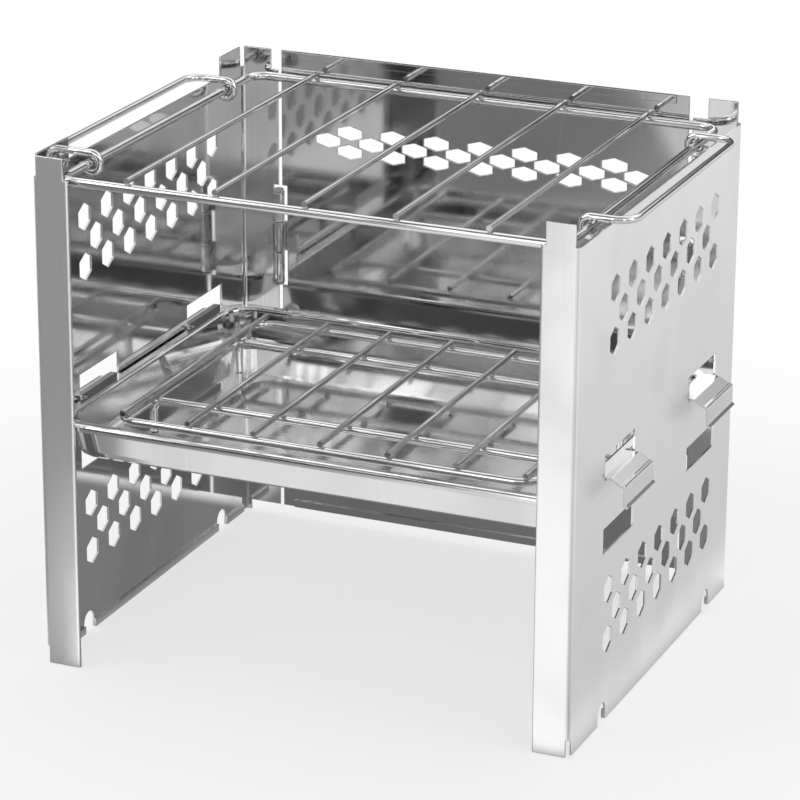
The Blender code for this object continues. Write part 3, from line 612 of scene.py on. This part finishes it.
def mix_shaders(tree, mask, first, second, place):
    """A shader that goes from the first to the second with a mask."""
    return add_node(tree, "ShaderNodeMixShader", place, {0: mask, 1: first, 2: second}).outputs[0]


def floor_finish():
    """Pale floor that keeps a soft shadow and fades to white. Metal mirrors instead a glow with
    painted bands from left to right, a painted shadow under the stove and painted shade to the
    left in front of it."""
    material, tree, shader = new_material("pale_floor", 0.0)
    feed(tree, shader, {"Base Color": shade(0.90), "Roughness": 0.8, "Specular IOR Level": 0.0})
    place = add_node(tree, "ShaderNodeTexCoord", (-1300, 0)).outputs["Object"]
    parts = add_node(tree, "ShaderNodeSeparateXYZ", (-1300, -400), {0: place}).outputs

    # What the eye sees
    far = add_node(tree, "ShaderNodeVectorMath", (-1100, 100), {0: place}, operation="LENGTH")
    fade = map_range(tree, far.outputs["Value"], 0.12, 0.42, 0.70, 1.0, (-900, 100),
                     "SMOOTHSTEP")
    white = add_node(tree, "ShaderNodeEmission", (-300, -250))
    seen = mix_shaders(tree, fade, shader.outputs[0], white.outputs[0], (0, 0))

    # Painted shade in the glow that reflections see: past a slanting line whose place depends on
    # Y, and only in front
    slant = add_node(tree, "ShaderNodeVectorMath", (-1100, -120), {0: place, 1: (-1.9, 1.0, 0.0)},
                     operation="DOT_PRODUCT")
    limit = map_range(tree, parts["Y"], -0.33, -0.24, -0.26, 0.09, (-1100, -900), "SMOOTHSTEP")
    past = math_node(tree, "SUBTRACT", (-900, -120), slant.outputs["Value"], limit)
    over = map_range(tree, past, -0.015, 0.010, 0.0, 1.0, (-700, -120), "SMOOTHSTEP")
    ahead = map_range(tree, parts["Y"], -0.080, -0.092, 0.0, 1.0, (-900, -900))
    front_left_shade_mask = math_node(tree, "MULTIPLY", (-650, -350), over, ahead)
    painted_front_left_shade = map_range(tree, front_left_shade_mask, 0.0, 1.0, 1.0, 0.40, (-550, -200))

    # Painted shadow under the stove in the glow that reflections see, and painted light past its
    # outline
    shares = []
    for axis, half, height in (("X", STOVE_HALF_X, -600), ("Y", STOVE_HALF_Y, -750)):
        size = math_node(tree, "ABSOLUTE", (-1100, height), parts[axis])
        shares.append(math_node(tree, "DIVIDE", (-950, height), size, half))
    outer = math_node(tree, "MAXIMUM", (-800, -650), *shares)
    # Strength of the glow: low for the painted shadow under the stove, high past it.
    clear = map_range(tree, outer, 0.95, 1.12, 0.42, 1.75, (-650, -650), "SMOOTHSTEP")

    across = map_range(tree, parts["X"], -FLOOR_BANDS_HALF, FLOOR_BANDS_HALF, 0.0, 1.0,
                       (-1100, -300))
    # The floor glow for reflections: painted bands, dimmed by the painted shadow and the painted
    # shade.
    mirrored = add_node(tree, "ShaderNodeEmission", (-300, -450),
                        {"Color": grey_ramp(tree, across, PAINTED_GLOW_BANDS, (-900, -300)),
                         "Strength": math_node(tree, "MULTIPLY", (-480, -560), clear, painted_front_left_shade)})
    rays = add_node(tree, "ShaderNodeLightPath", (-300, 500)).outputs
    pick = mix_shaders(tree, rays["Is Glossy Ray"], seen, mirrored.outputs[0], (250, 0))
    feed(tree, tree.nodes["Material Output"], {"Surface": pick})
    return material


def studio_world():
    """The room: white to the eye, dim for the pale floor, and banded walls in bright metal."""
    world = bpy.data.worlds.new("studio")
    world.use_nodes = True
    tree = world.node_tree
    tree.nodes.clear()
    way = add_node(tree, "ShaderNodeTexCoord", (-1500, 0)).outputs["Generated"]
    parts = add_node(tree, "ShaderNodeSeparateXYZ", (-1300, 0), {0: way}).outputs
    behind = map_range(tree, parts["Y"], -0.10, 0.20, 0.0, 1.0, (-1050, 250), "SMOOTHSTEP")
    front = grey_ramp(tree, parts["Z"], FRONT_WALL, (-1050, 0))
    back = grey_ramp(tree, parts["Z"], BACK_WALL, (-1050, -250))
    screens = add_node(tree, "ShaderNodeTexWave", (-1300, -500),
                       {"Vector": way, "Scale": 5.36, "Distortion": 0.8}, bands_direction="X")
    gaps = map_range(tree, screens.outputs["Fac"], 0.20, 0.45, 0.15, 1.0, (-1050, -500),
                     "SMOOTHSTEP")
    screened = add_node(tree, "ShaderNodeMix", (-850, -100), {0: 1.0, 6: front, 7: gaps},
                        data_type="RGBA", blend_type="MULTIPLY")
    level = blend_colours(tree, behind, screened.outputs[2], back, (-700, 0))
    mirrored = add_node(tree, "ShaderNodeBackground", (-300, -150),
                        {"Color": level, "Strength": MIRRORED_STRENGTH})
    room = add_node(tree, "ShaderNodeBackground", (-300, 50),
                    {"Color": shade(1.0), "Strength": ROOM_STRENGTH})
    white = add_node(tree, "ShaderNodeBackground", (-300, -350),
                     {"Color": shade(1.0), "Strength": 1.0})
    rays = add_node(tree, "ShaderNodeLightPath", (-300, 450)).outputs
    with_mirror = mix_shaders(tree, rays["Is Glossy Ray"], room.outputs[0], mirrored.outputs[0],
                              (0, 0))
    with_view = mix_shaders(tree, rays["Is Camera Ray"], with_mirror, white.outputs[0], (250, 0))
    add_node(tree, "ShaderNodeOutputWorld", (500, 0), {"Surface": with_view})
    return world


def soft_box(name, place, width, height, watts):
    """A rectangular area lamp that faces the stove."""
    lamp = bpy.data.lights.new(name, "AREA")
    lamp.shape = "RECTANGLE"
    lamp.size = width
    lamp.size_y = height
    lamp.energy = watts
    obj = bpy.data.objects.new(name, lamp)
    obj.location = place
    obj.rotation_euler = (LAMP_TARGET - Vector(place)).to_track_quat("-Z", "Y").to_euler()
    bpy.context.scene.collection.objects.link(obj)


floor_mesh = bpy.data.meshes.new("floor")
bm = bmesh.new()
bmesh.ops.create_grid(bm, x_segments=1, y_segments=1, size=FLOOR_HALF,
                      matrix=Matrix.Translation((0.0, 0.0, cad_box[0][2] - FLOOR_GAP)))
bm.to_mesh(floor_mesh)
bm.free()
floor = bpy.data.objects.new("floor", floor_mesh)
bpy.context.scene.collection.objects.link(floor)
floor_mesh.materials.append(floor_finish())

bpy.context.scene.world = studio_world()
for lamp_settings in LAMPS:
    soft_box(*lamp_settings)

camera_data = bpy.data.cameras.new("camera")
camera_data.lens = CAMERA_LENS
camera_data.sensor_width = 36.0
camera_data.shift_x, camera_data.shift_y = CAMERA_SHIFT
camera = bpy.data.objects.new("camera", camera_data)
camera.location = CAMERA_PLACE
camera.rotation_euler = (Matrix.Rotation(CAMERA_YAW, 3, "Z")
                         @ Matrix.Rotation(math.pi / 2 - CAMERA_PITCH, 3, "X")
                         @ Matrix.Rotation(CAMERA_ROLL, 3, "Z")).to_euler()
bpy.context.scene.collection.objects.link(camera)
bpy.context.scene.camera = camera
bpy.context.scene.view_settings.view_transform = "Standard"
